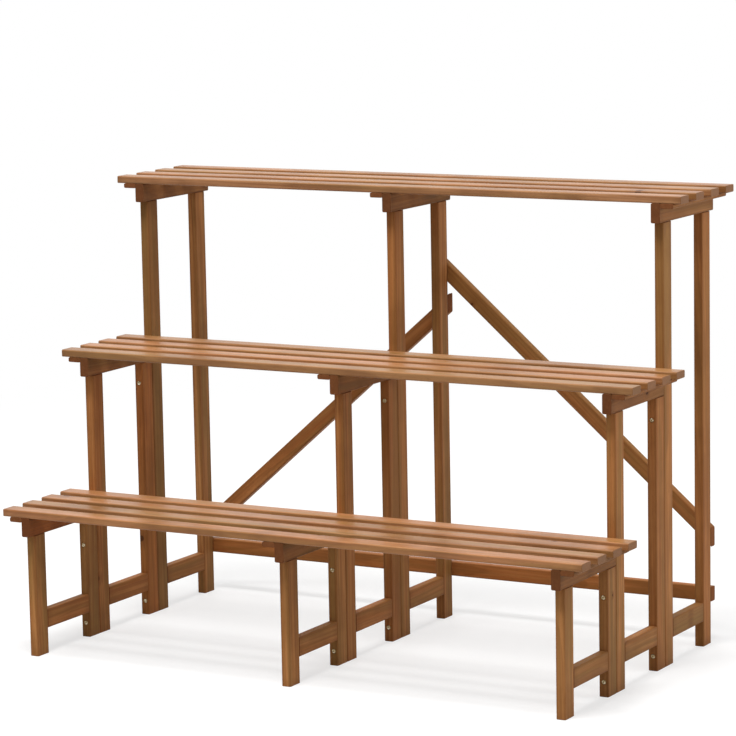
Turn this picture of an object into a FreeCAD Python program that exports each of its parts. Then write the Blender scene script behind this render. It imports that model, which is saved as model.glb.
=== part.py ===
import FreeCAD
import Part
import math
import os

# Tiered plant stand: three slatted shelves that rise like stairs from front to back, carried by a left,
# a centre and a right side frame. Millimetres. X runs along the shelves, Y from front to back, Z up.
# The origin is on the floor, under the middle of the whole stand.

# Stock. Legs, rails and stretchers are cut from one board size, slats from a thinner one.
board_width = 36.0
board_thickness = 18.0
slat_thickness = 14.0
batten_width = 26.0
batten_thickness = 9.0
back_board_width = 28.0
eased_edge = 1.5

# Overall layout.
shelf_length = 1200.0
shelf_heights = {"low": 281.0, "middle": 554.0, "top": 868.0}
trestle_depth = 210.0  # over the two legs of one trestle
rail_overhang = 15.0  # how far a rail and its slats reach past a free leg face
slats_per_shelf = 4
end_overhang = 15.0  # how far the slats reach past the outer battens
stretcher_height = 48.0  # floor to the underside of a stretcher

# Back boards, on the rear faces of the rear legs.
rear_rail_height = 79.0
brace_rise = 490.0
brace_clearances = {"left": 3.0, "right": 77.0}  # rear rail to the lowest corner of each brace

# Screws that join one trestle to the next. Each round head rests on the front face of the shorter leg.
screw_diameter = 4.0
screw_length = 60.0
screw_point = 5.0
head_diameter = 8.4
crown_diameter = 5.6
head_height = 2.2
loose_clearance = 0.25
close_clearance = 0.1
low_screw_height = 27.0
high_screw_drops = {"low": 51.0, "middle": 40.0}  # top of the shorter leg to the upper screw

rows = ["low", "middle", "top"]
sides = ["left", "centre", "right"]

# Worked out from the sizes above. Along Y the stand reaches from the front overhang to the back boards.
front_edge = -rail_overhang
rear_face = len(rows) * trestle_depth
middle_y = (front_edge + rear_face + board_thickness) / 2
outer_face = shelf_length / 2 - end_overhang - batten_width
frame_starts = {
    "left": -outer_face,
    "centre": -board_thickness / 2,
    "right": outer_face - board_thickness,
}
brace_run = outer_face + board_thickness / 2
brace_angle = math.atan2(brace_rise, brace_run)
brace_cut = back_board_width / math.cos(brace_angle)  # height of a brace's upright end

along_shelf = FreeCAD.Vector(1, 0, 0)
to_rear = FreeCAD.Vector(0, 1, 0)
upward = FreeCAD.Vector(0, 0, 1)


def vector(x, y, z):
    return FreeCAD.Vector(x, y, z)


def ease(shape, direction):
    """Chamfers the long edges, those that run along one direction."""
    long_edges = []
    for edge in shape.Edges:
        run = edge.Vertexes[-1].Point - edge.Vertexes[0].Point
        if run.cross(direction).Length < run.Length * direction.Length / 100:
            long_edges.append(edge)
    return shape.makeChamfer(eased_edge, long_edges)


def board(start, size, grain):
    """A straight board with its low corner at start. The eased edges run along the grain."""
    return ease(Part.makeBox(size.x, size.y, size.z, start), grain)


def drill(shape, holes):
    for hole in holes:
        shape = shape.cut(hole)
    return shape


def leg_top(row):
    return shelf_heights[row] - slat_thickness - board_width


def leg_fronts(row):
    """Front faces of the front and the rear leg of one trestle."""
    start = rows.index(row) * trestle_depth - middle_y
    return {"front_leg": start, "rear_leg": start + trestle_depth - board_width}


def deck_span(row):
    """Front and rear edge of one shelf. Only the top shelf is free to overhang at its rear."""
    legs = leg_fronts(row)
    front = legs["front_leg"] - rail_overhang
    rear = legs["rear_leg"] + board_width
    if row == rows[-1]:
        rear += rail_overhang
    return front, rear


def slat_fronts(row):
    front, rear = deck_span(row)
    pitch = (rear - front - board_width) / (slats_per_shelf - 1)
    return [front + pitch * index for index in range(slats_per_shelf)]


def screw_seats(side):
    """Where the heads rest, in the rear leg of each trestle that has another one behind it."""
    seats = []
    for row in rows[:-1]:
        seat_x = frame_starts[side] + board_thickness / 2
        seat_y = leg_fronts(row)["rear_leg"]
        for height in (low_screw_height, leg_top(row) - high_screw_drops[row]):
            seats.append(vector(seat_x, seat_y, height))
    return seats


def screw(seat):
    """A round-headed screw that runs to the rear from its seat."""
    shank_length = screw_length - screw_point
    shank = Part.makeCylinder(screw_diameter / 2, shank_length, seat, to_rear)
    point = Part.makeCone(screw_diameter / 2, 0, screw_point, seat + to_rear * shank_length, to_rear)
    head = Part.makeCone(head_diameter / 2, crown_diameter / 2, head_height, seat, to_rear * -1)
    return shank.fuse([point, head]).removeSplitter()


def screw_hole(seat):
    """A loose hole through the leg under the head, then a close hole in the leg behind."""
    grip = seat + to_rear * board_width
    close_length = screw_length - board_width + close_clearance
    loose = Part.makeCylinder(screw_diameter / 2 + loose_clearance, board_width, seat, to_rear)
    close = Part.makeCylinder(screw_diameter / 2 + close_clearance, close_length, grip, to_rear)
    return loose.fuse(close)


def trestle(side, row):
    """Two legs, the rail on top of them and the stretcher between them, all flush on their faces."""
    start_x = frame_starts[side]
    legs = leg_fronts(row)
    holes = [screw_hole(seat) for seat in screw_seats(side)]
    leg_size = vector(board_thickness, board_width, leg_top(row))
    pieces = {}
    for name, start_y in legs.items():
        pieces[name] = drill(board(vector(start_x, start_y, 0), leg_size, upward), holes)
    front, rear = deck_span(row)
    rail_size = vector(board_thickness, rear - front, board_width)
    pieces["rail"] = board(vector(start_x, front, leg_top(row)), rail_size, to_rear)
    stretcher_front = legs["front_leg"] + board_width
    stretcher_size = vector(board_thickness, legs["rear_leg"] - stretcher_front, board_width)
    stretcher_start = vector(start_x, stretcher_front, stretcher_height)
    pieces["stretcher"] = board(stretcher_start, stretcher_size, to_rear)
    return pieces


def slats(row):
    size = vector(shelf_length, board_width, slat_thickness)
    underside = shelf_heights[row] - slat_thickness
    pieces = []
    for start_y in slat_fronts(row):
        pieces.append(board(vector(-shelf_length / 2, start_y, underside), size, along_shelf))
    return pieces


def battens(row):
    """One under each end of the slats, outside the rails, and one on the left of the centre rail."""
    front, rear = deck_span(row)
    size = vector(batten_width, rear - front, batten_thickness)
    underside = shelf_heights[row] - slat_thickness - batten_thickness
    starts = [
        frame_starts["left"] - batten_width,
        frame_starts["centre"] - batten_width,
        frame_starts["right"] + board_thickness,
    ]
    return Part.makeCompound([board(vector(start_x, front, underside), size, to_rear) for start_x in starts])


def rear_rail():
    start = vector(-outer_face, rear_face - middle_y, rear_rail_height)
    return board(start, vector(2 * outer_face, board_thickness, back_board_width), along_shelf)


def brace(side):
    """A diagonal board from the outer face of an end frame up to the far face of the centre frame."""
    outward = -1 if side == "left" else 1
    low = rear_rail_height + back_board_width + brace_clearances[side]
    start = vector(outward * outer_face, rear_face - middle_y, low)
    slope = vector(-outward * brace_run, 0, brace_rise)
    upright = vector(0, 0, brace_cut)
    outline = Part.makePolygon([start, start + slope, start + slope + upright, start + upright, start])
    return ease(Part.Face(outline).extrude(to_rear * board_thickness), slope)


def stand():
    pieces = {}
    for row in rows:
        for side in sides:
            for name, piece in trestle(side, row).items():
                pieces[f"{side}_{row}_{name}"] = piece
        for number, slat in enumerate(slats(row), start=1):
            pieces[f"{row}_slat_{number}"] = slat
        pieces[f"{row}_battens"] = battens(row)
    pieces["rear_rail"] = rear_rail()
    pieces["left_brace"] = brace("left")
    pieces["right_brace"] = brace("right")
    pieces["leg_screws"] = Part.makeCompound([screw(seat) for side in sides for seat in screw_seats(side)])
    return pieces


os.makedirs("parts", exist_ok=True)
for node, shape in stand().items():
    shape.exportStep(f"parts/{node}.step")
    print(node, round(shape.Volume / 1000, 1), "cm3, valid", shape.isValid())
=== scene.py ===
import itertools
import math
import random

import bmesh
import bpy
import numpy as np
from mathutils import Matrix, Vector


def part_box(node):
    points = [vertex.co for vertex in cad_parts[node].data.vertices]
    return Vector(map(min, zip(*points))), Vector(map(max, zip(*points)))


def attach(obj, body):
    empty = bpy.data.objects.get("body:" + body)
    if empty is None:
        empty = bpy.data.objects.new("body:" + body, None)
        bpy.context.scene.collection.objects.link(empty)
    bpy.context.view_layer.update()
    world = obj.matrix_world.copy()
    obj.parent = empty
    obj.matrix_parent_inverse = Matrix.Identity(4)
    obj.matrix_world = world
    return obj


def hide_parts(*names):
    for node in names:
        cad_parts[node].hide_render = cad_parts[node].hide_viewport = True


# Tiered stand in stained wood: three slatted shelves on a left, a centre and a right side frame.
# Metres. X runs along the shelves, Y from front to back, Z up.
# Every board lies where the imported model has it.

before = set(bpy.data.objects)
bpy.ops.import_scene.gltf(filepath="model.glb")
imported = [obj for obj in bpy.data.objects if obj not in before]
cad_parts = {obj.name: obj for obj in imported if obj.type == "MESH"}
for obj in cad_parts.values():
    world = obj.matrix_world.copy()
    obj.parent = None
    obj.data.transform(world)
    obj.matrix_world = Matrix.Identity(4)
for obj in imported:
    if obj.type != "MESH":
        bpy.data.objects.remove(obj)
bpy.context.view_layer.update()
mm = 0.001
alongX, alongY, alongZ = range(3)
towardFront = Vector((0.0, -1.0, 0.0))
towardRear = Vector((0.0, 1.0, 0.0))
downward = Vector((0.0, 0.0, -1.0))
print("frame loaded,", len(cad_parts), "nodes")


def setInputs(modifier, values):
    # a modifier's input is set by its socket's identifier
    for item in modifier.node_group.interface.items_tree:
        if item.item_type == "SOCKET" and item.in_out == "INPUT" and item.name in values:
            modifier[item.identifier] = values[item.name]


def newTree(name, inputs):
    # a Geometry Nodes tree with named inputs, each (name, socket type, default)
    tree = bpy.data.node_groups.new(name, "GeometryNodeTree")
    tree.interface.new_socket("Geometry", in_out="INPUT", socket_type="NodeSocketGeometry")
    for title, kind, default in inputs:
        socket = tree.interface.new_socket(title, in_out="INPUT", socket_type=kind)
        if default is not None:
            socket.default_value = default
    tree.interface.new_socket("Geometry", in_out="OUTPUT", socket_type="NodeSocketGeometry")
    return tree


class Value:
    # a number socket that can be used in sums, on either side of an operator
    def __init__(self, graph, socket):
        self.graph = graph
        self.socket = socket

    def math(self, operation, *others):
        return self.graph.math(operation, self, *others)

    def __add__(self, other):
        return self.math("ADD", other)

    def __sub__(self, other):
        return self.math("SUBTRACT", other)

    def __rsub__(self, other):
        return self.graph.math("SUBTRACT", other, self)

    def __mul__(self, other):
        return self.math("MULTIPLY", other)

    def __truediv__(self, other):
        return self.math("DIVIDE", other)

    def __rtruediv__(self, other):
        return self.graph.math("DIVIDE", other, self)

    def __pow__(self, other):
        return self.math("POWER", other)

    def __rpow__(self, other):
        return self.graph.math("POWER", other, self)

    __radd__ = __add__
    __rmul__ = __mul__


class Graph:
    # a tree of shader or geometry nodes; add() makes any node and gives one of its outputs
    def __init__(self, tree):
        self.tree = tree

    def node(self, kind, settings=None, inputs=None):
        made = self.tree.nodes.new(kind)
        for key, value in (settings or {}).items():
            setattr(made, key, value)
        for key, value in (inputs or {}).items():
            socket = made.inputs[key]
            if isinstance(value, Value):
                self.tree.links.new(value.socket, socket)
            else:
                socket.default_value = value
        return made

    def add(self, kind, settings=None, inputs=None, output=0):
        return Value(self, self.node(kind, settings, inputs).outputs[output])

    def math(self, operation, *values):
        return self.add("ShaderNodeMath", {"operation": operation}, dict(enumerate(values)))

    def vector(self, x, y, z):
        return self.add("ShaderNodeCombineXYZ", None, {"X": x, "Y": y, "Z": z})

    def parts(self, vector):
        split = self.node("ShaderNodeSeparateXYZ", None, {"Vector": vector})
        return [Value(self, output) for output in split.outputs]

    def taken(self):
        # the tree's own inputs by name
        entry = self.node("NodeGroupInput")
        return {output.name: Value(self, output) for output in entry.outputs}

    def attribute(self, name, output="Vector"):
        return self.add("ShaderNodeAttribute", {"attribute_name": name}, None, output)

    def objectPlace(self):
        return self.add("ShaderNodeTexCoord", None, None, "Object")

    def noise(self, vector, detail, roughness=0.5, scale=1.0):
        inputs = {"Vector": vector, "Scale": scale, "Detail": detail, "Roughness": roughness}
        return self.add("ShaderNodeTexNoise", None, inputs)

    def chance(self, number):
        # the same chance value, from 0 to 1, for the same number
        return self.add("ShaderNodeTexWhiteNoise", {"noise_dimensions": "1D"}, {"W": number})

    def ramp(self, value, low, high, start=0.0, end=1.0):
        # start below low, end above high, smooth between them
        inputs = {"Value": value, "From Min": low, "From Max": high, "To Min": start, "To Max": end}
        return self.add("ShaderNodeMapRange", {"interpolation_type": "SMOOTHSTEP"}, inputs)

    def mix(self, share, first, second):
        settings = {"data_type": "RGBA", "clamp_factor": True}
        return self.add("ShaderNodeMix", settings, {"Factor": share, "A": first, "B": second}, "Result")


def newMaterial(name):
    material = bpy.data.materials.new(name)
    material.use_nodes = True
    material.node_tree.nodes.clear()
    return material, Graph(material.node_tree)


# the two finishes; a colour is what the wood shows in plain light
frameLook = {
    "ringWidth": 7.0 * mm,
    "pale": (0.595, 0.270, 0.095, 1.0),
    "middle": (0.405, 0.163, 0.050, 1.0),
    "deep": (0.195, 0.074, 0.021, 1.0),
    "olive": (0.330, 0.180, 0.056, 1.0),
    "red": (0.520, 0.150, 0.034, 1.0),
    "knot": (0.090, 0.030, 0.010, 1.0),
    "cutEnd": (0.195, 0.062, 0.025, 1.0),
    "shade": (0.0, 0.0, 0.0, 1.0),  # what a board's darker tone and its painted shade are mixed with
    "roughness": 0.50,
    "gloss": 0.08,
    "bands": 0.80,  # how strongly olive bands run along a board
    "blotches": 0.32,  # dark places where the stain soaked in
    "edgeStainAndShade": 0.46,  # darker near the long edges: partly gathered stain, partly painted shade that rounds them
    # the eased edges are painted paler: some rubbing and a painted highlight
    "edgeRubAndHighlight": 0.10,
    # darker near each end: stain near the cut ends and painted shade where ends meet the floor and other
    # boards
    "endStainAndShade": 0.26,
    "knotSpacing": 0.42,  # metres along the trunk
}
slatLook = dict(
    frameLook,
    ringWidth=6.0 * mm,
    pale=(0.545, 0.262, 0.116, 1.0),
    middle=(0.380, 0.165, 0.062, 1.0),
    cutEnd=(0.215, 0.088, 0.024, 1.0),
    roughness=0.31,
    gloss=0.27,
    bands=0.70,
    blotches=0.50,
    edgeStainAndShade=0.0,
    # the slats' eased edges carry a stronger painted highlight
    edgeRubAndHighlight=0.40,
    endStainAndShade=0.34,
)

# noises that figure the wood: how many per metre along the trunk and across it, detail, roughness
grainLook = {
    "drift": (2.2, 14.0, 2.0, 0.5),  # the rings wander slowly
    "sway": (14.0, 60.0, 2.0, 0.5),  # and waver quickly
    "fibre": (9.0, 900.0, 3.0, 0.6),
    "streak": (1.3, 120.0, 3.0, 0.6),
    "band": (2.5, 48.0, 2.0, 0.5),
    "blotch": (7.0, 9.0, 3.0, 0.6),
    "pore": (75.0, 1500.0, 1.0, 0.5),
}

# how a mark fades in over a noise or a distance: from, to, and its strength before and after if not 0 and 1
fadeLook = {
    "streak": (0.32, 0.68),
    "band": (0.42, 0.64),
    "blotch": (0.42, 0.68),
    "fibre": (0.35, 0.75),
    "pore": (0.66, 0.74),
    "poreInLate": (0.0, 0.6, 1.0, 0.35),  # pores show less in the dark part of a ring
    "olive": (-0.4, 0.0, 0.6, 0.0),  # a board's redness below 0 turns it olive
    "lateRise": (0.25, 0.95),
    "lateFall": (0.95, 1.0, 1.0, 0.0),
    "endGrain": (0.3 * mm, 1.2 * mm, 1.0, 0.0),
    # the darkening near each end, stain and painted shade
    "nearEnd": (0.0, 22.0 * mm, 1.0, 0.0),
    "corner": (0.9 * mm, 3.2 * mm, 1.0, 0.0),
    "gatheredStainAndShade": (0.5 * mm, 5.5 * mm, 1.0, 0.0),  # stain and painted shade at the long edges
    # paler edges, partly rubbed and partly a painted highlight, fade in over the streaks
    "rubbedAndHighlit": (0.55, 0.95),
}
depthLook = {
    "late": 0.28,  # how deeply each mark colours the wood
    "fibre": 0.22,
    "pore": 0.55,
    "halo": 0.45,
    "knot": 0.90,
    "endGrain": 0.70,
    "rubAndHighlightStreak": 0.50,  # edges are rubbed and painted lighter more where a streak is pale
}
sheenLook = {"fibre": 0.12, "endGrain": 0.20, "late": -0.05, "knot": 0.05}  # added to the roughness
reliefLook = {"fibre": 0.35, "late": -0.25, "pore": -0.80, "streak": 0.20}  # how high each mark stands
bumpLook = {"strength": 0.35, "depth": 0.25 * mm}

ringLook = {
    "drift": 0.016,  # how far each noise, and a knot, moves the rings
    "sway": 0.0016,
    "push": 0.0035,
    "unevenScale": 55.0,  # per metre outward
    "uneven": 2.0,  # in ring widths
}
knotLook = {
    "startSpread": 37.0,  # boards start this many stretches apart at most
    "turnSeed": 0.37,
    "sizeSeed": 0.71,
    "margin": 0.2,  # no limb starts in this share of a stretch at either end
    "flatness": 0.75,  # a knot is longer along the trunk
    "leastRadius": 1.0 * mm,
    "spread": 4.5 * mm,
    "cover": (0.0, 4.0 * mm),  # a limb shows on one side of the pith
    "core": (0.75, 1.15, 1.0, 0.0),  # in limb radii
    "halo": (1.0, 4.5, 1.0, 0.0),
}


def knotFigure(graph, spacing, trunk, cell):
    # limbs that leave the pith sideways, one in each stretch of the trunk, and the halo round them
    along, across, through = trunk
    stretch = along / spacing + cell * knotLook["startSpread"]
    index = stretch.math("FLOOR")
    where = graph.chance(index) * (1.0 - 2.0 * knotLook["margin"])
    turn = graph.chance(index + knotLook["turnSeed"]) * math.tau
    limbRadius = graph.chance(index + knotLook["sizeSeed"]) * knotLook["spread"] + knotLook["leastRadius"]
    limbAlong = (stretch - index - knotLook["margin"] - where) * spacing
    limbAside = across * turn.math("SINE") - through * turn.math("COSINE")
    outward = across * turn.math("COSINE") + through * turn.math("SINE")
    away = ((limbAlong * knotLook["flatness"]) ** 2.0 + limbAside.math("ABSOLUTE") ** 2.0) ** 0.5
    onSide = graph.ramp(outward, *knotLook["cover"])
    knot = graph.ramp(away / limbRadius, *knotLook["core"]) * onSide
    halo = graph.ramp(away / limbRadius, *knotLook["halo"]) * onSide
    return knot, halo


def lateWood(graph, ringWidth, trunk, drift, sway, halo):
    # the dark part of each growth ring; the noises lie round 0.5
    across, through = trunk[1:]
    moved = (drift - 0.5) * ringLook["drift"]
    wavered = (sway - 0.5) * ringLook["sway"]
    radius = (across ** 2.0 + through ** 2.0) ** 0.5 + moved + wavered + halo * ringLook["push"]
    uneven = graph.noise(graph.vector(radius * ringLook["unevenScale"], 0.0, 0.0), 1.0)
    ring = (radius / ringWidth + uneven * ringLook["uneven"]).math("FRACT")
    return graph.ramp(ring, *fadeLook["lateRise"]) * graph.ramp(ring, *fadeLook["lateFall"])


def woodMaterial(name, look):
    # solid wood: rings round a pith that lies beside the board, fibres along it, stain and oil on top, with
    # painted shade and a painted highlight near the edges and ends
    material, graph = newMaterial(name)
    trunk = graph.parts(graph.attribute("trunk"))
    inside = graph.parts(graph.attribute("inside"))
    half = graph.parts(graph.attribute("halfSize"))
    darkerAndShaded, redder, cell = graph.parts(graph.attribute("toneAndShade"))

    def grain(title):
        perAlong, perAcross, detail, roughness = grainLook[title]
        place = graph.vector(trunk[0] * perAlong, trunk[1] * perAcross, trunk[2] * perAcross)
        return graph.noise(place, detail, roughness)

    def fade(value, title):
        return graph.ramp(value, *fadeLook[title])

    knot, halo = knotFigure(graph, look["knotSpacing"], trunk, cell)
    late = lateWood(graph, look["ringWidth"], trunk, grain("drift"), grain("sway"), halo)
    fibre = grain("fibre")
    streak = grain("streak")
    band = grain("band")
    pore = fade(grain("pore"), "pore") * fade(late, "poreInLate")

    # end grain drinks more stain; the eased long edges are painted a little paler, partly rubbed and partly a
    # painted highlight where they catch the light
    fromSide, fromFace, fromEnd = [whole - own.math("ABSOLUTE") for whole, own in zip(half, inside)]
    fromEdge = fromSide + fromFace
    endGrain = fade(fromEnd, "endGrain")
    rubbedAndHighlit = fade(fromEdge, "corner") * fade(band + streak * depthLook["rubAndHighlightStreak"], "rubbedAndHighlit")

    # each coat is how much of it there is, and its colour
    coats = (
        (fade(band, "band") * look["bands"], "olive"),
        (redder, "red"),
        (fade(redder, "olive"), "olive"),
        (late * depthLook["late"], "deep"),
        (fade(fibre, "fibre") * depthLook["fibre"], "deep"),
        (fade(grain("blotch"), "blotch") * look["blotches"], "deep"),
        (pore * depthLook["pore"], "deep"),
        (halo * depthLook["halo"], "deep"),
        (knot * depthLook["knot"], "knot"),
        # gathered stain, and painted shade along the long edges
        (fade(fromEdge, "gatheredStainAndShade") * look["edgeStainAndShade"], "deep"),
        # painted highlight and rubbing on the eased long edges
        (rubbedAndHighlit * look["edgeRubAndHighlight"], "pale"),
        # darker within 22 mm of each end: stain near the cut ends, and painted shade where the ends meet the
        # floor and other boards
        (fade(fromEnd, "nearEnd") * look["endStainAndShade"], "deep"),
        (endGrain * depthLook["endGrain"], "cutEnd"),
        # board tone, and painted shade on boards under the shelves and further back
        (darkerAndShaded, "shade"),
    )
    colour = graph.mix(fade(streak, "streak"), look["middle"], look["pale"])
    for share, tint in coats:
        colour = graph.mix(share, colour, look[tint])

    marks = {"fibre": fibre, "streak": streak, "late": late, "pore": pore, "knot": knot, "endGrain": endGrain}
    roughness = sum((marks[title] * share for title, share in sheenLook.items()), look["roughness"])
    height = sum(marks[title] * share for title, share in reliefLook.items())
    bump = graph.add("ShaderNodeBump", None, {
        "Strength": bumpLook["strength"],
        "Distance": bumpLook["depth"],
        "Height": height,
    })
    shader = graph.add("ShaderNodeBsdfPrincipled", None, {
        "Base Color": colour,
        "Roughness": roughness,
        "Normal": bump,
        "Specular IOR Level": look["gloss"],
    })
    graph.node("ShaderNodeOutputMaterial", None, {"Surface": shader})
    return material


frameWood = woodMaterial("frameWood", frameLook)
slatWood = woodMaterial("slatWood", slatLook)
print("wood mixed")


boardLook = {
    "cornerRadius": 2.6 * mm,
    "cornerSteps": 4,
    "endEase": 0.5 * mm,
    "endEaseSteps": 2,
    "endEaseFrom": 50.0,  # degrees; flatter edges aren't eased
    "pithNear": 25.0 * mm,  # the trunk's middle lies this far from a board at least
    "pithFar": 110.0 * mm,
    "trunkRun": 40.0,  # boards come from anywhere in this many metres of trunk
    "trunkLean": 0.035,  # how far a board runs out of true with the trunk
    "sideLean": 0.6,  # and the share of that through its thickness
    "toneSpread": 0.05,
    "redSpread": 0.25,
}

# how much darker and how much redder (or, below 0, more olive) some boards are than the rest; the darkness is
# partly the board's own tone and partly painted shade, strongest on the rails and battens under the shelves,
# the top slats and the legs further back
boardTonesAndShade = {
    "leftLowFrontLeg": (0.00, -0.05),
    "leftLowRearLeg": (0.12, -0.30),
    "leftMiddleFrontLeg": (0.03, 0.15),
    "leftMiddleRearLeg": (0.06, 0.45),
    "leftTopFrontLeg": (0.20, -0.25),
    "leftTopRearLeg": (0.10, -0.05),
    "leftLowRail": (0.34, 0.80),
    "leftMiddleRail": (0.30, 0.10),
    "leftTopRail": (0.36, 0.00),
    "centreLowRail": (0.32, 0.05),
    "centreMiddleRail": (0.24, 0.10),
    "centreTopRail": (0.42, 0.05),
    "leftLowStretcher": (0.06, 0.25),
    "leftMiddleStretcher": (0.08, 0.25),
    "leftTopStretcher": (0.10, 0.10),
    "centreLowFrontLeg": (0.00, -0.12),
    "centreLowRearLeg": (0.00, -0.10),
    "centreMiddleFrontLeg": (0.05, 0.12),
    "centreMiddleRearLeg": (0.12, 0.22),
    "centreTopFrontLeg": (0.05, 0.08),
    "centreTopRearLeg": (0.10, 0.05),
    "rightLowFrontLeg": (0.02, -0.10),
    "rightLowRearLeg": (0.15, -0.15),
    "rightMiddleFrontLeg": (0.00, 0.05),
    "rightMiddleRearLeg": (0.12, 0.20),
    "rightTopFrontLeg": (0.08, 0.05),
    "rightTopRearLeg": (0.12, 0.28),
    "rightLowRail": (0.34, 0.00),
    "rightMiddleRail": (0.36, 0.10),
    "rightTopRail": (0.32, -0.05),
    "rightLowStretcher": (0.10, -0.15),
    "rightMiddleStretcher": (0.10, -0.10),
    "rightTopStretcher": (0.15, -0.20),
    "lowBatten": (0.14, 0.00),
    "middleBatten": (0.20, 0.05),
    "topBatten": (0.18, 0.00),
    "topSlat1": (0.14, 0.00),
    "topSlat2": (0.12, 0.15),
    "topSlat3": (0.10, -0.05),
    "topSlat4": (0.13, 0.10),
    "rearRail": (0.06, 0.42),
    "leftBrace": (0.05, 0.25),
    "rightBrace": (0.05, 0.10),
}


def boardTree():
    # a bar with rounded long corners, along local Z; End Slope leans both end faces
    tree = newTree("sawnBoard", [
        ("Length", "NodeSocketFloat", 1.0),
        ("Width", "NodeSocketFloat", 36.0 * mm),
        ("Thickness", "NodeSocketFloat", 18.0 * mm),
        ("Corner Radius", "NodeSocketFloat", boardLook["cornerRadius"]),
        ("Corner Steps", "NodeSocketInt", boardLook["cornerSteps"]),
        ("End Slope", "NodeSocketFloat", 0.0),
        ("Wood", "NodeSocketMaterial", None),
    ])
    graph = Graph(tree)
    taken = graph.taken()
    outline = graph.add("GeometryNodeCurvePrimitiveQuadrilateral", {"mode": "RECTANGLE"}, {
        "Width": taken["Width"],
        "Height": taken["Thickness"],
    })
    rounded = graph.add("GeometryNodeFilletCurve", {"mode": "POLY"}, {
        "Curve": outline,
        "Radius": taken["Corner Radius"],
        "Count": taken["Corner Steps"],
    })
    path = graph.add("GeometryNodeCurvePrimitiveLine", {"mode": "POINTS"}, {
        "Start": graph.vector(0.0, 0.0, taken["Length"] * -0.5),
        "End": graph.vector(0.0, 0.0, taken["Length"] * 0.5),
    })
    bar = graph.add("GeometryNodeCurveToMesh", None, {
        "Curve": path,
        "Profile Curve": rounded,
        "Fill Caps": True,
    })
    acrossBoard = graph.parts(graph.add("GeometryNodeInputPosition"))[0]
    lean = graph.vector(0.0, 0.0, acrossBoard * taken["End Slope"])
    leaned = graph.add("GeometryNodeSetPosition", None, {"Geometry": bar, "Offset": lean})
    real = graph.add("GeometryNodeRealizeInstances", None, {"Geometry": leaned})
    finish = graph.add("GeometryNodeSetMaterial", None, {"Geometry": real, "Material": taken["Wood"]})
    graph.node("NodeGroupOutput", None, {"Geometry": finish})
    return tree


sawnBoard = boardTree()


def applied(carrier):
    # the evaluated object as a plain mesh; the object itself goes
    view = bpy.context.evaluated_depsgraph_get()
    view.update()
    mesh = bpy.data.meshes.new_from_object(carrier.evaluated_get(view))
    drop(carrier)
    return mesh


def newCarrier(name, mesh=None):
    carrier = bpy.data.objects.new(name, mesh or bpy.data.meshes.new(name))
    bpy.context.scene.collection.objects.link(carrier)
    return carrier


def drop(thing):
    mesh = thing.data
    bpy.data.objects.remove(thing)
    if mesh.users == 0:
        bpy.data.meshes.remove(mesh)


def meshFrom(shape, name):
    # a finished bmesh as a mesh
    mesh = bpy.data.meshes.new(name)
    shape.to_mesh(mesh)
    shape.free()
    return mesh


def cutBy(carrier, cutters):
    cut = carrier.modifiers.new("cut", "BOOLEAN")
    cut.operation = "DIFFERENCE"
    cut.solver = "EXACT"
    cut.object = cutters


def flattenNormals(carrier):
    # broad faces are shaded flat, and only their rounded edges turn
    flatten = carrier.modifiers.new("flatten", "WEIGHTED_NORMAL")
    flatten.keep_sharp = True


def boardMesh(name, size, slope, wood, turn, cutters=None):
    # size is (width, thickness, length) in the board's own axes, turn takes those axes to the stand's
    carrier = newCarrier(name)
    maker = carrier.modifiers.new("sawnBoard", "NODES")
    maker.node_group = sawnBoard
    setInputs(maker, {
        "Width": size[0],
        "Thickness": size[1],
        "Length": size[2],
        "Corner Radius": boardLook["cornerRadius"],
        "Corner Steps": boardLook["cornerSteps"],
        "End Slope": slope,
        "Wood": wood,
    })
    sawn = applied(carrier)
    sawn.transform(turn)
    carrier = newCarrier(name, sawn)
    if cutters:
        cutBy(carrier, cutters)
    ease = carrier.modifiers.new("ease", "BEVEL")
    ease.width = boardLook["endEase"]
    ease.segments = boardLook["endEaseSteps"]
    ease.limit_method = "ANGLE"
    ease.angle_limit = math.radians(boardLook["endEaseFrom"])
    flattenNormals(carrier)
    eased = applied(carrier)
    for polygon in eased.polygons:
        polygon.use_smooth = True
    return eased


def markWood(title, mesh, turn, size, slope, dice):
    # writes where each point lies in its trunk and in its board
    count = len(mesh.vertices)
    spots = np.empty(count * 3)
    mesh.vertices.foreach_get("co", spots)
    back = turn.inverted()
    rotation = np.array(back.to_3x3())
    local = spots.reshape(-1, 3) @ rotation.T + np.array(back.translation)
    pith = dice.uniform(boardLook["pithNear"], boardLook["pithFar"])
    angle = dice.uniform(0.0, math.tau)
    lean = dice.uniform(-boardLook["trunkLean"], boardLook["trunkLean"])
    trunk = np.empty_like(local)
    trunk[:, 0] = local[:, 2] + dice.uniform(0.0, boardLook["trunkRun"])
    trunk[:, 1] = local[:, 0] + math.cos(angle) * pith + lean * local[:, 2]
    trunk[:, 2] = local[:, 1] + math.sin(angle) * pith + lean * boardLook["sideLean"] * local[:, 2]
    inside = local.copy()
    inside[:, 2] -= slope * local[:, 0]
    half = np.tile(np.array(size) / 2, (count, 1))
    spread = boardLook["toneSpread"]
    red = boardLook["redSpread"]
    chance = (dice.uniform(0.0, 2 * spread), dice.uniform(-red, red))
    darkerAndShaded, redder = boardTonesAndShade.get(title, chance)
    toneAndShade = np.tile([darkerAndShaded, redder, dice.uniform(0.0, 1.0)], (count, 1))
    for name, values in (("trunk", trunk), ("inside", inside), ("halfSize", half), ("toneAndShade", toneAndShade)):
        layer = mesh.attributes.new(name, "FLOAT_VECTOR", "POINT")
        layer.data.foreach_set("vector", values.astype(np.float32).ravel())


def placed(ownX, ownY, ownZ, origin):
    # takes a thing's own axes to three directions, and its origin to a place
    turn = Matrix((ownX, ownY, ownZ)).transposed().to_4x4()
    turn.translation = origin
    return turn


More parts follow.
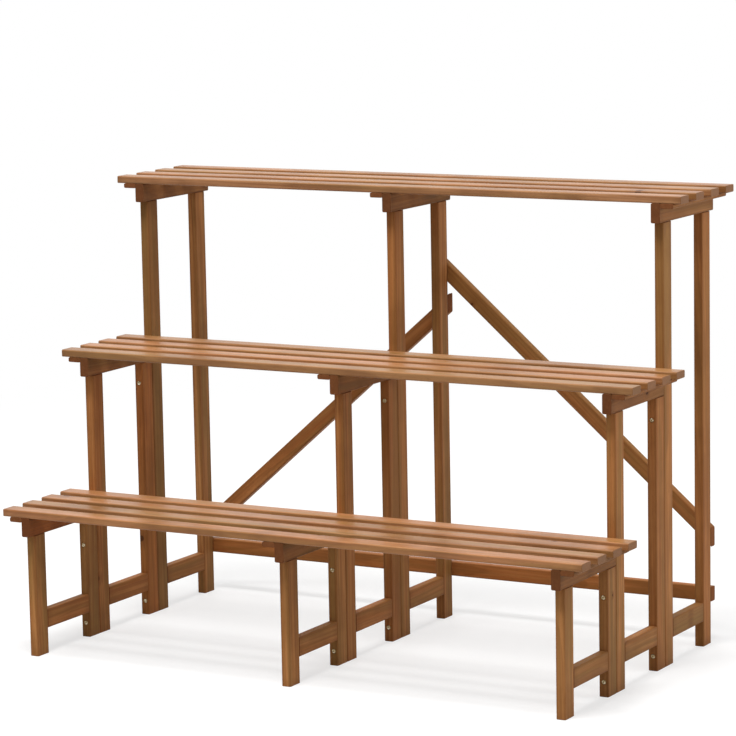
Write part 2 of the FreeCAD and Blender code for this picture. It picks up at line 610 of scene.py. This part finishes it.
def addPiece(name, mesh, nodes=()):
    piece = newCarrier(name, mesh)
    mesh.name = name
    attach(piece, "root")
    if nodes:
        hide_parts(*nodes)


def joined(meshes, name):
    # several meshes as one
    whole = newCarrier(name, meshes[0])
    others = [newCarrier(name + "Part", mesh) for mesh in meshes[1:]]
    with bpy.context.temp_override(active_object=whole, selected_editable_objects=[whole] + others):
        bpy.ops.object.join()
    mesh = whole.data
    bpy.data.objects.remove(whole)
    return mesh


boardSeeds = itertools.count(101)  # each board draws its own trunk


def straightBoard(name, low, high, grain, wood, cutters=None):
    # fills the box from low to high, with its own Z along the grain and the other two axes in order
    directions = Matrix.Identity(3)
    order = ((grain + 1) % 3, (grain + 2) % 3, grain)
    turn = placed(*[directions[axis] for axis in order], (low + high) / 2)
    size = [(high - low)[axis] for axis in order]
    mesh = boardMesh(name, size, 0.0, wood, turn, cutters)
    markWood(name, mesh, turn, size, 0.0, random.Random(next(boardSeeds)))
    return mesh


rows = ("low", "middle", "top")
sides = ("left", "centre", "right")
slatNumbers = range(1, 5)
grainOf = {"front_leg": alongZ, "rear_leg": alongZ, "rail": alongY, "stretcher": alongY}

screwLook = {
    "headRadius": 4.2 * mm,
    "headHeight": 2.2 * mm,
    "sunk": 1.8 * mm,  # the heads are driven in until they are nearly flush
    "pocketRadius": 4.7 * mm,
    "pocketSteps": 32,
    "shankRadius": 2.0 * mm,
    "length": 60.0 * mm,
    "point": 5.0 * mm,
    "lowHeight": 27.0 * mm,
    "highDrops": {"low": 51.0 * mm, "middle": 40.0 * mm},
}


def legScrewSpots():
    # on the front face of the shorter leg, where it lies against the taller one
    spots = []
    for side in sides:
        for row in rows[:-1]:
            low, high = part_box(side + "_" + row + "_rear_leg")
            for height in (screwLook["lowHeight"], high.z - screwLook["highDrops"][row]):
                spots.append(Vector(((low.x + high.x) / 2, low.y, height)))
    return spots


def pocketCutters(spots, radius, depth, outward):
    # one cylinder for each pocket, a little proud of the face it enters
    proud = 1.0 * mm
    turn = outward.to_track_quat("Z", "Y").to_matrix().to_4x4()
    shape = bmesh.new()
    for spot in spots:
        middle = spot - outward * (depth - proud) / 2
        bmesh.ops.create_cone(
            shape,
            cap_ends=True,
            segments=screwLook["pocketSteps"],
            radius1=radius,
            radius2=radius,
            depth=depth + proud,
            matrix=Matrix.Translation(middle) @ turn,
        )
    return newCarrier("pockets", meshFrom(shape, "pockets"))


screwSpots = legScrewSpots()
legPockets = pocketCutters(screwSpots, screwLook["pocketRadius"], screwLook["sunk"], towardFront)

for side in sides:
    for row in rows:
        for kind, grain in grainOf.items():
            node = side + "_" + row + "_" + kind
            title = side + row.capitalize() + kind.title().replace("_", "")
            drilled = kind == "rear_leg" and row != rows[-1]
            mesh = straightBoard(title, *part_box(node), grain, frameWood, legPockets if drilled else None)
            addPiece(title, mesh, [node])
print("side frames built")

for row in rows:
    for number in slatNumbers:
        node = row + "_slat_" + str(number)
        title = row + "Slat" + str(number)
        addPiece(title, straightBoard(title, *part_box(node), alongX, slatWood), [node])
print("slats laid")

battenLook = {"width": 26.0 * mm}
battenMiddles = {}
for row in rows:
    low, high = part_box(row + "_battens")
    leftRail, centreRail, rightRail = [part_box(side + "_" + row + "_rail") for side in sides]
    width = battenLook["width"]
    starts = (leftRail[0].x - width, centreRail[0].x - width, rightRail[1].x)
    meshes = []
    for start in starts:
        first = Vector((start, low.y, low.z))
        last = Vector((start + width, high.y, high.z))
        meshes.append(straightBoard(row + "Batten", first, last, alongY, frameWood))
    battenMiddles[row] = [start + width / 2 for start in starts]
    addPiece(row + "Battens", joined(meshes, row + "Battens"), [row + "_battens"])
print("battens fixed")

backLook = {
    "boardWidth": 28.0 * mm,
    "braceRise": 490.0 * mm,
    "pocketRadius": 3.6 * mm,
    "pocketDepth": 0.6 * mm,
    "screwSunk": 0.3 * mm,
}


def backScrewSpots():
    # on the rear face, where each back board crosses a rear leg of the top row
    legs = [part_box(side + "_top_rear_leg") for side in sides]
    middles = [(low.x + high.x) / 2 for low, high in legs]
    railLow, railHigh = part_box("rear_rail")
    spots = [Vector((middle, railHigh.y, (railLow.z + railHigh.z) / 2)) for middle in middles]
    leftMiddle, centreMiddle, rightMiddle = middles
    for node, slopeSign, outer in (("left_brace", 1.0, leftMiddle), ("right_brace", -1.0, rightMiddle)):
        low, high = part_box(node)
        centre = (low + high) / 2
        rise = backLook["braceRise"] / (high.x - low.x) * slopeSign
        for middle in (outer, centreMiddle):
            spots.append(Vector((middle, high.y, centre.z + (middle - centre.x) * rise)))
    return spots


def brace(title, low, high, leanSign, cutters):
    # a board that climbs toward the centre frame, with its ends cut upright
    run = high.x - low.x
    climb = math.atan2(backLook["braceRise"], run)
    grainLine = Vector((math.cos(climb) * leanSign, 0.0, math.sin(climb)))
    turn = placed(towardRear.cross(grainLine), towardRear, grainLine, (low + high) / 2)
    size = (backLook["boardWidth"], high.y - low.y, run / math.cos(climb))
    slope = -math.tan(climb) * leanSign
    mesh = boardMesh(title, size, slope, frameWood, turn, cutters)
    markWood(title, mesh, turn, size, slope, random.Random(next(boardSeeds)))
    return mesh


backSpots = backScrewSpots()
backPockets = pocketCutters(backSpots, backLook["pocketRadius"], backLook["pocketDepth"], towardRear)
rearRail = straightBoard("rearRail", *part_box("rear_rail"), alongX, frameWood, backPockets)
addPiece("rearRail", rearRail, ["rear_rail"])
for side, leanSign in (("left", 1.0), ("right", -1.0)):
    node = side + "_brace"
    title = side + "Brace"
    addPiece(title, brace(title, *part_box(node), leanSign, backPockets), [node])
print("back boards fixed")


zincLook = {
    "clean": (0.40, 0.30, 0.16, 1.0),
    "worn": (0.86, 0.76, 0.55, 1.0),
    # grime specks, and the painted shade in the recess and under the rim
    "grimeAndShade": (0.05, 0.035, 0.02, 1.0),
    "roughness": 0.26,
    "fineScale": 900.0,
    "broadScale": 260.0,
    "wornFade": (0.50, 0.62),
    "grimeFade": (0.58, 0.72, 0.0, 0.6),
    "fineDulling": 0.2,
    "bump": 0.2,
    "bumpDepth": 0.05 * mm,
}


def zincMaterial():
    # yellow-passivated zinc, worn in patches, with grime specks, and painted shade in the recess and under
    # the rim
    material, graph = newMaterial("screwZinc")
    place = graph.objectPlace()
    fine = graph.noise(place, 3.0, scale=zincLook["fineScale"])
    broad = graph.noise(place, 2.0, scale=zincLook["broadScale"])
    colour = graph.mix(graph.ramp(broad, *zincLook["wornFade"]), zincLook["clean"], zincLook["worn"])
    colour = graph.mix(graph.ramp(fine, *zincLook["grimeFade"]), colour, zincLook["grimeAndShade"])
    # painted shade in the recess and under the rim
    colour = graph.mix(graph.attribute("recessShade", "Fac"), colour, zincLook["grimeAndShade"])
    bump = graph.add("ShaderNodeBump", None, {
        "Strength": zincLook["bump"],
        "Distance": zincLook["bumpDepth"],
        "Height": fine,
    })
    shader = graph.add("ShaderNodeBsdfPrincipled", None, {
        "Base Color": colour,
        "Metallic": 1.0,
        "Roughness": fine * zincLook["fineDulling"] + zincLook["roughness"],
        "Normal": bump,
    })
    graph.node("ShaderNodeOutputMaterial", None, {"Surface": shader})
    return material


screwZinc = zincMaterial()

turningLook = {"steps": 24, "closer": 0.01 * mm}  # points closer than that are one
# painted shade in each screw's recess and under its rim
recessShadeLook = {
    "amount": 0.9,
    "recessDepth": 0.25,  # shares of the recess's depth and reach
    "recessReach": 1.05,
    "rimHeight": 0.2,  # share of the head's height
}


def turnedShape(name, profile):
    # profile points are (radius, height) from the crown down to the point; the crown faces local Z
    shape = bmesh.new()
    line = [shape.verts.new((radius, 0.0, height)) for radius, height in profile]
    edges = [shape.edges.new(pair) for pair in zip(line, line[1:])]
    bmesh.ops.spin(
        shape,
        geom=line + edges,
        axis=(0, 0, 1),
        cent=(0, 0, 0),
        steps=turningLook["steps"],
        angle=math.tau,
    )
    bmesh.ops.remove_doubles(shape, verts=shape.verts, dist=turningLook["closer"])
    bmesh.ops.recalc_face_normals(shape, faces=shape.faces)
    mesh = meshFrom(shape, name)
    mesh.materials.append(screwZinc)
    return mesh


def crossCutter(crown, recess):
    # the cross recess tapers to its floor
    blades = bmesh.new()
    floor = (crown - recess["depth"], recess["taper"])
    above = (crown + recess["depth"], 2.0 - recess["taper"])
    rings = []
    for height, share in (floor, above):
        tip = recess["reach"] * share
        flank = recess["width"] / 2 * share
        ring = []
        for quarter in range(4):
            for x, y in ((tip, -flank), (tip, flank), (flank, flank)):
                spot = Matrix.Rotation(quarter * math.pi / 2, 3, "Z") @ Vector((x, y, height))
                ring.append(blades.verts.new(spot))
        rings.append(ring)
    lower, upper = rings
    blades.faces.new(list(reversed(lower)))
    blades.faces.new(upper)
    for index in range(len(lower)):
        after = (index + 1) % len(lower)
        blades.faces.new((lower[index], lower[after], upper[after], upper[index]))
    mesh = meshFrom(blades, "blades")
    mesh.materials.append(screwZinc)
    return newCarrier("blades", mesh)


def soilScrew(mesh, crown, recess):
    # painted shade sits in the recess and under the rim
    recessShade = mesh.attributes.new("recessShade", "FLOAT", "POINT")
    floor = crown - recess["depth"] * recessShadeLook["recessDepth"]
    reach = recess["reach"] * recessShadeLook["recessReach"]
    for vertex in mesh.vertices:
        inRecess = vertex.co.z < floor and vertex.co.xy.length < reach
        underRim = vertex.co.z < crown * recessShadeLook["rimHeight"]
        recessShade.data[vertex.index].value = recessShadeLook["amount"] if inRecess or underRim else 0.0


def turnedScrew(name, profile, recess):
    crown = profile[0][1]
    cutter = crossCutter(crown, recess)
    carrier = newCarrier(name, turnedShape(name, profile))
    cutBy(carrier, cutter)
    flattenNormals(carrier)
    done = applied(carrier)
    drop(cutter)
    soilScrew(done, crown, recess)
    return newCarrier(name, done)


def screwTree():
    # one screw on each point, facing one way, each turned by its own angle
    tree = newTree("screwSet", [
        ("Screw", "NodeSocketObject", None),
        ("Facing", "NodeSocketVector", (0.0, 0.0, 1.0)),
        ("Seed", "NodeSocketInt", 1),
        ("Metal", "NodeSocketMaterial", None),
    ])
    graph = Graph(tree)
    taken = graph.taken()
    shape = graph.add("GeometryNodeObjectInfo", None, {"Object": taken["Screw"]}, output="Geometry")
    facing = graph.add("FunctionNodeAlignRotationToVector", {"axis": "Z"}, {"Vector": taken["Facing"]})
    angle = graph.add("FunctionNodeRandomValue", {"data_type": "FLOAT"}, {
        "Min": 0.0,
        "Max": math.tau,
        "Seed": taken["Seed"],
    }, output="Value")
    spin = graph.add("FunctionNodeAxisAngleToRotation", None, {"Axis": (0.0, 0.0, 1.0), "Angle": angle})
    turned = graph.add("FunctionNodeRotateRotation", {"rotation_space": "LOCAL"}, {
        "Rotation": facing,
        "Rotate By": spin,
    })
    driven = graph.add("GeometryNodeInstanceOnPoints", None, {
        "Points": taken["Geometry"],
        "Instance": shape,
        "Rotation": turned,
    })
    real = graph.add("GeometryNodeRealizeInstances", None, {"Geometry": driven})
    finish = graph.add("GeometryNodeSetMaterial", None, {"Geometry": real, "Material": taken["Metal"]})
    graph.node("NodeGroupOutput", None, {"Geometry": finish})
    return tree


screwSet = screwTree()


def driveScrews(name, spots, facing, screw, seed, nodes=()):
    mesh = bpy.data.meshes.new(name)
    mesh.from_pydata(spots, [], [])
    carrier = newCarrier(name, mesh)
    maker = carrier.modifiers.new("screwSet", "NODES")
    maker.node_group = screwSet
    setInputs(maker, {"Screw": screw, "Facing": facing, "Seed": seed, "Metal": screwZinc})
    addPiece(name, applied(carrier), nodes)


# the round head, as shares of its radius and height from the crown to the rim's underside
panCrown = ((0.0, 1.0), (0.40, 0.98), (0.66, 0.88), (0.86, 0.66), (0.97, 0.36), (1.0, 0.08), (0.97, 0.0))
panRecess = {"reach": 2.1 * mm, "width": 0.95 * mm, "depth": 1.4 * mm, "taper": 0.55}
flatLook = {
    "headRadius": 3.3 * mm,
    "rimEase": 0.2 * mm,  # the rim's upper corner is cut back this far
    "rimEaseDepth": 0.15 * mm,
    "rimUnder": 0.1 * mm,
    "rimDepth": 0.4 * mm,
    "headDepth": 2.0 * mm,
    "neckRadius": 1.6 * mm,
    "shankRadius": 1.5 * mm,
    "length": 18.0 * mm,
    "point": 3.0 * mm,
}
flatRecess = {"reach": 1.8 * mm, "width": 0.80 * mm, "depth": 1.2 * mm, "taper": 0.55}
deckLook = {"proud": 0.25 * mm}  # the heads stand this far out of the battens
screwSeeds = {"legScrews": 5, "deckScrews": 6, "backScrews": 7}


def panProfile():
    head = [(screwLook["headRadius"] * out, screwLook["headHeight"] * up) for out, up in panCrown]
    shank = screwLook["shankRadius"]
    length = screwLook["length"]
    return head + [(shank, 0.0), (shank, screwLook["point"] - length), (0.0, -length)]


def flatProfile():
    rim = flatLook["headRadius"]
    length = flatLook["length"]
    return [
        (0.0, 0.0),
        (rim - flatLook["rimEase"], 0.0),
        (rim, -flatLook["rimEaseDepth"]),
        (rim - flatLook["rimUnder"], -flatLook["rimDepth"]),
        (flatLook["neckRadius"], -flatLook["headDepth"]),
        (flatLook["shankRadius"], flatLook["point"] - length),
        (0.0, -length),
    ]


def deckScrewSpots():
    # under each slat, in the middle of each batten
    spots = []
    for row in rows:
        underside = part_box(row + "_battens")[0].z - deckLook["proud"]
        for number in slatNumbers:
            low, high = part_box(row + "_slat_" + str(number))
            for middle in battenMiddles[row]:
                spots.append(Vector((middle, (low.y + high.y) / 2, underside)))
    return spots


panScrew = turnedScrew("panScrew", panProfile(), panRecess)
flatScrew = turnedScrew("flatScrew", flatProfile(), flatRecess)
legSeats = [spot - towardFront * screwLook["sunk"] for spot in screwSpots]
backSeats = [spot - towardRear * backLook["screwSunk"] for spot in backSpots]
driveScrews("legScrews", legSeats, towardFront, panScrew, screwSeeds["legScrews"], ["leg_screws"])
driveScrews("deckScrews", deckScrewSpots(), downward, flatScrew, screwSeeds["deckScrews"])
driveScrews("backScrews", backSeats, towardRear, flatScrew, screwSeeds["backScrews"])
for tool in (panScrew, flatScrew, legPockets, backPockets):
    drop(tool)
print("screws driven")


roomLook = {
    "floorHalf": 6.0,
    "floorBounce": (0.54, 0.52, 0.50, 1.0),  # what the floor throws back at the stand
    "floorColour": (0.96, 0.96, 0.955, 1.0),
    "floorGlow": 0.62,  # how much of the floor that the camera sees is plain white
    "whiteFrom": 1.6,
    "whiteTo": 3.2,
    "white": (1.0, 1.0, 1.0, 1.0),
    "sky": 0.30,
}


def pathIsSeen(graph):
    # 1 on rays from the camera, and on those that metal or glass mirrors
    path = graph.node("ShaderNodeLightPath")
    camera = Value(graph, path.outputs["Is Camera Ray"])
    mirrored = Value(graph, path.outputs["Is Glossy Ray"])
    through = Value(graph, path.outputs["Is Transmission Ray"])
    return camera.math("MAXIMUM", mirrored).math("MAXIMUM", through)


def makeFloor():
    reach = roomLook["floorHalf"]
    corners = [(-reach, -reach, 0), (reach, -reach, 0), (reach, reach, 0), (-reach, reach, 0)]
    mesh = bpy.data.meshes.new("floor")
    mesh.from_pydata(corners, [], [(0, 1, 2, 3)])
    material, graph = newMaterial("floorPaper")
    across, deep = graph.parts(graph.objectPlace())[:2]
    away = (across ** 2.0 + deep ** 2.0) ** 0.5
    far = graph.ramp(away, roomLook["whiteFrom"], roomLook["whiteTo"], roomLook["floorGlow"], 1.0)
    sight = pathIsSeen(graph)
    shade = graph.mix(sight, roomLook["floorBounce"], roomLook["floorColour"])
    paper = graph.add("ShaderNodeBsdfDiffuse", None, {"Color": shade})
    white = graph.add("ShaderNodeEmission", None, {"Color": roomLook["white"], "Strength": 1.0})
    seen = graph.add("ShaderNodeMixShader", None, {0: far * sight, 1: paper, 2: white})
    graph.node("ShaderNodeOutputMaterial", None, {"Surface": seen})
    mesh.materials.append(material)
    newCarrier("floor", mesh)


def makeSky():
    world = bpy.data.worlds.new("studio")
    world.use_nodes = True
    world.node_tree.nodes.clear()
    graph = Graph(world.node_tree)
    soft, white = [
        graph.add("ShaderNodeBackground", None, {"Color": roomLook["white"], "Strength": strength})
        for strength in (roomLook["sky"], 1.0)
    ]
    sky = graph.add("ShaderNodeMixShader", None, {0: pathIsSeen(graph), 1: soft, 2: white})
    graph.node("ShaderNodeOutputWorld", None, {"Surface": sky})
    bpy.context.scene.world = world


lampTarget = Vector((0.0, 0.0, 0.35))
lampLook = [
    # name, place, power in watts, width of the lamp, whether it may glint on the boards
    ("keyLamp", (0.1, -1.8, 6.7), 500.0, 2.6, True),
    ("fillLamp", (1.7, 0.55, 1.0), 7.0, 1.0, True),
    ("backLamp", (-1.9, 2.6, 1.7), 22.0, 1.4, False),
]


def makeLamps():
    for name, spot, power, width, glints in lampLook:
        lamp = bpy.data.lights.new(name, "AREA")
        lamp.shape = "DISK"
        lamp.size = width
        lamp.energy = power
        holder = bpy.data.objects.new(name, lamp)
        bpy.context.scene.collection.objects.link(holder)
        holder.visible_camera = False
        holder.visible_glossy = glints
        holder.location = spot
        holder.rotation_euler = (lampTarget - Vector(spot)).to_track_quat("-Z", "Y").to_euler()


cameraLook = {
    "place": (3.0148, -5.3600, 1.4882),
    "heading": 29.323,  # degrees to the left of straight back
    "tip": -8.8,
    "roll": -1.074,
    "focalPixels": 3343.67,
    "imagePixels": 736,
    "sensor": 36.0,
    "farthest": 100.0,
}


def makeCamera():
    heading = math.radians(cameraLook["heading"])
    tip = math.radians(cameraLook["tip"])
    roll = math.radians(cameraLook["roll"])
    forward = Vector((-math.sin(heading) * math.cos(tip), math.cos(heading) * math.cos(tip), math.sin(tip)))
    level = Vector((math.cos(heading), math.sin(heading), 0.0))
    above = level.cross(forward)
    right = level * math.cos(roll) + above * math.sin(roll)
    up = above * math.cos(roll) - level * math.sin(roll)
    lens = bpy.data.cameras.new("camera")
    lens.sensor_width = cameraLook["sensor"]
    lens.lens = cameraLook["focalPixels"] / cameraLook["imagePixels"] * cameraLook["sensor"]
    lens.clip_end = cameraLook["farthest"]
    holder = bpy.data.objects.new("camera", lens)
    bpy.context.scene.collection.objects.link(holder)
    holder.matrix_world = placed(right, up, -forward, cameraLook["place"])
    bpy.context.scene.camera = holder


makeFloor()
makeSky()
makeLamps()
makeCamera()
bpy.context.scene.view_settings.view_transform = "Standard"
print("room, lamps and camera set")
